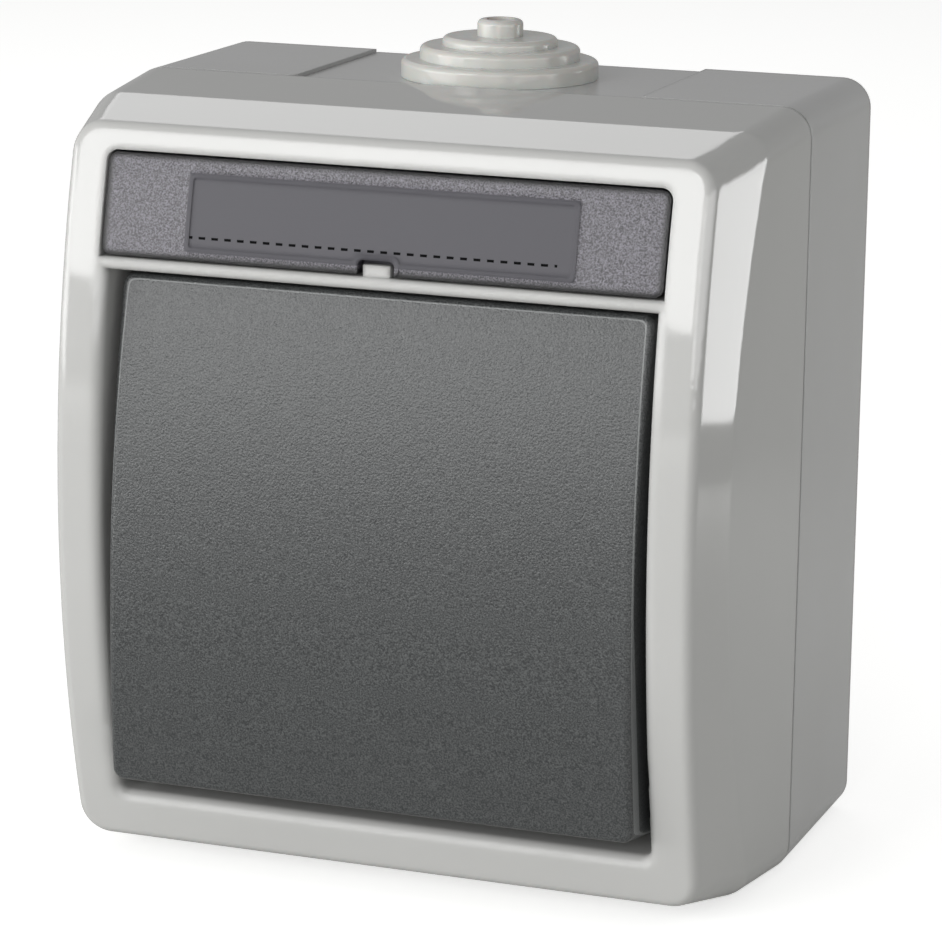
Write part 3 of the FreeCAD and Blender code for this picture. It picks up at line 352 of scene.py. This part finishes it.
finishes = {
    "back_box": satinAbs, "entry_panel": satinAbs, "wall_hole_plugs": satinAbs,
    "cable_grommet": palePvc, "front_cover": glossyAbs,
    "cover_gasket": sealSilicone, "rocker_seal": sealSilicone,
    "label_window": smokedPc, "label_card": charcoalCard, "label_holder": greyAbs,
    "rocker": grainedAbs, "rocker_carrier": whitePa, "switch_base": whitePa,
    "plunger": whitePom, "mechanism_cover": hardPaper,
    "plunger_spring": zincSteel, "terminal_screws": zincSteel,
    "insert_screws": zincSteel, "cover_screws": zincSteel,
    "contact_blade": rolledBrass, "upper_terminal": rolledBrass, "lower_terminal": rolledBrass,
    "common_terminal": rolledBrass, "terminal_clamps": rolledBrass,
    "blade_contacts": silverAlloy, "fixed_contacts": silverAlloy,
}
shading = {"weldMm": 0.002, "splitAngle": 28, "flatWeight": 100}


def dressNode(name, material):
    # welding joins the loose triangles, splitting at true edges keeps the rounds smooth, and
    # weighting by area keeps the flats between them flat in their reflections
    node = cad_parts[name]
    node.data.materials.clear()
    node.data.materials.append(material)
    node.data.shade_smooth()
    weld = node.modifiers.new("weld", "WELD")
    weld.merge_threshold = shading["weldMm"] * mm
    split = node.modifiers.new("trueEdges", "EDGE_SPLIT")
    split.split_angle = math.radians(shading["splitAngle"])
    flats = node.modifiers.new("flatFaces", "WEIGHTED_NORMAL")
    flats.mode = "FACE_AREA"
    flats.weight = shading["flatWeight"]


for nodeName, finish in finishes.items():
    dressNode(nodeName, finish)
print("CAD nodes finished")


# Dashed writing guide on the label

def objectFrom(name, shape, material):
    mesh = bpy.data.meshes.new(name)
    shape.to_mesh(mesh)
    shape.free()
    mesh.materials.append(material)
    piece = bpy.data.objects.new(name, mesh)
    bpy.context.scene.collection.objects.link(piece)
    return piece


def dashedGuide():
    # the dashes lie on the window's curve, a little behind the barrel of the cover; the last is a dot
    dashes = {"count": 29, "startX": -19.9, "pitch": 1.35, "length": 0.68, "height": 0.25,
              "z": 26.15, "setback": 0.2, "thickness": 0.05}
    barrel = {"radius": 130.0, "axis": 81.0}
    depth = math.sqrt((barrel["radius"] - dashes["setback"]) ** 2 - dashes["z"] ** 2) - barrel["axis"]
    shape = bmesh.new()
    for number in range(dashes["count"]):
        last = number == dashes["count"] - 1
        length = dashes["height"] if last else dashes["length"]
        x = dashes["startX"] + number * dashes["pitch"] + length / 2
        size = Matrix.Diagonal((length, dashes["thickness"], dashes["height"], 1 / mm)) * mm
        spot = Matrix.Translation(Vector((x, -depth, dashes["z"])) * mm)
        bmesh.ops.create_cube(shape, size=1.0, matrix=spot @ size)
    piece = objectFrom("label_guide_line", shape, blackInk)
    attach(piece, "housing")


dashedGuide()
print("guide line added")


# Floor, light and camera

def makeFloor():
    paper = {"half": 4.0, "belowMm": 0.02, "colour": "#e4e4e2", "whiteGlow": 0.62}
    shape = bmesh.new()
    spot = Matrix.Translation((0.0, 0.0, cadBox[0][2] - paper["belowMm"] * mm))
    bmesh.ops.create_grid(shape, x_segments=1, y_segments=1, size=paper["half"], matrix=spot)
    material = bpy.data.materials.new("studioPaper")
    material.use_nodes = True
    tree = material.node_tree
    tree.nodes.clear()
    rays = addNode(tree, "ShaderNodeLightPath")
    seen = addNode(tree, "ShaderNodeMapRange",
                   {"Value": rays.outputs["Is Camera Ray"], "To Min": 0.0, "To Max": paper["whiteGlow"]})
    matt = addNode(tree, "ShaderNodeBsdfDiffuse", {"Color": hexToLinear(paper["colour"])})
    glow = addNode(tree, "ShaderNodeEmission",
                   {"Color": (1.0, 1.0, 1.0, 1.0), "Strength": seen.outputs["Result"]})
    both = addNode(tree, "ShaderNodeAddShader", {0: matt.outputs["BSDF"], 1: glow.outputs["Emission"]})
    addNode(tree, "ShaderNodeOutputMaterial", {"Surface": both.outputs["Shader"]})
    objectFrom("studioFloor", shape, material)


def makeWorld():
    # white where it is seen, and a plain grey room where it lights or shows in the gloss
    room = {"light": 0.35, "gloss": 0.38, "seen": 1.0, "colour": "#ffffff"}
    world = bpy.data.worlds.new("studio")
    world.use_nodes = True
    tree = world.node_tree
    tree.nodes.clear()
    rays = addNode(tree, "ShaderNodeLightPath")
    seen = addNode(tree, "ShaderNodeMath",
                   {0: rays.outputs["Is Camera Ray"], 1: rays.outputs["Is Transmission Ray"]},
                   operation="MAXIMUM")
    glossy = addNode(tree, "ShaderNodeMapRange",
                     {"Value": rays.outputs["Is Glossy Ray"], "To Min": room["light"],
                      "To Max": room["gloss"]})
    strength = addNode(tree, "ShaderNodeMapRange",
                       {"Value": seen.outputs["Value"], "To Min": glossy.outputs["Result"],
                        "To Max": room["seen"]})
    background = addNode(tree, "ShaderNodeBackground",
                         {"Color": hexToLinear(room["colour"]), "Strength": strength.outputs["Result"]})
    addNode(tree, "ShaderNodeOutputWorld", {"Surface": background.outputs["Background"]})
    bpy.context.scene.world = world


def softbox(name, settings):
    # bearing is measured from straight ahead of the switch towards its right, height from level
    bearing = math.radians(settings["bearing"])
    height = math.radians(settings["height"])
    away = Vector((math.sin(bearing) * math.cos(height), -math.cos(bearing) * math.cos(height),
                   math.sin(height)))
    lamp = bpy.data.lights.new(name, "AREA")
    lamp.shape = "RECTANGLE"
    lamp.size = settings["width"]
    lamp.size_y = settings["tall"]
    lamp.energy = settings["radiance"] * math.pi * settings["width"] * settings["tall"]
    holder = bpy.data.objects.new(name, lamp)
    bpy.context.scene.collection.objects.link(holder)
    holder.visible_diffuse = settings.get("lights", True)
    holder.matrix_world = (Matrix.Translation(Vector(settings["aim"]) * mm + away * settings["distance"])
                           @ away.to_track_quat("Z", "Y").to_matrix().to_4x4())


makeFloor()
makeWorld()
softbox("keySoftbox", {"bearing": -22, "height": 17.5, "distance": 0.8, "width": 0.34, "tall": 0.32,
                       "aim": (0, -45, 25), "radiance": 6.6})
softbox("fillSoftbox", {"bearing": -58, "height": 7, "distance": 0.9, "width": 0.8, "tall": 0.3,
                        "aim": (0, -45, 0), "radiance": 5.5})
softbox("frontSoftbox", {"bearing": 14, "height": 12, "distance": 0.9, "width": 0.36, "tall": 0.3,
                         "aim": (0, -45, 0), "radiance": 5.2})
softbox("backSoftbox", {"bearing": -156, "height": 29, "distance": 0.7, "width": 0.3, "tall": 0.19,
                        "aim": (0, -45, 38), "radiance": 1.3})
softbox("edgeSoftbox", {"bearing": 136, "height": 0, "distance": 0.2, "width": 0.05, "tall": 0.088,
                        "aim": (34, -45, 16), "radiance": 4.6})
# a long strip of reflector that shows in the rounded corner but lights nothing
softbox("cornerReflector", {"bearing": 64, "height": 10, "distance": 0.9, "width": 1.05, "tall": 0.36,
                            "aim": (30, -45, 10), "radiance": 3.4, "lights": False})


def aimCamera():
    # the photograph looks from the right and a little above; sizes in pixels of its 942 by 945 frame
    view = {"place": (137.16, -395.69, 95.26), "yaw": 0.3494, "pitch": 0.2368, "roll": 0.0121,
            "focalPixels": 4001.0, "longSide": 945, "sensorMm": 36.0, "nearest": 0.01, "farthest": 20}
    camera = bpy.data.cameras.new("photoCamera")
    camera.sensor_width = view["sensorMm"]
    camera.lens = view["focalPixels"] * view["sensorMm"] / view["longSide"]
    camera.clip_start = view["nearest"]
    camera.clip_end = view["farthest"]
    holder = bpy.data.objects.new("photoCamera", camera)
    bpy.context.scene.collection.objects.link(holder)
    turn = (Matrix.Rotation(view["yaw"], 4, "Z") @ Matrix.Rotation(math.pi / 2 - view["pitch"], 4, "X")
            @ Matrix.Rotation(view["roll"], 4, "Z"))
    holder.matrix_world = Matrix.Translation(Vector(view["place"]) * mm) @ turn
    bpy.context.scene.camera = holder


aimCamera()
bpy.context.scene.view_settings.view_transform = "Standard"
print("stage, lights and camera set")
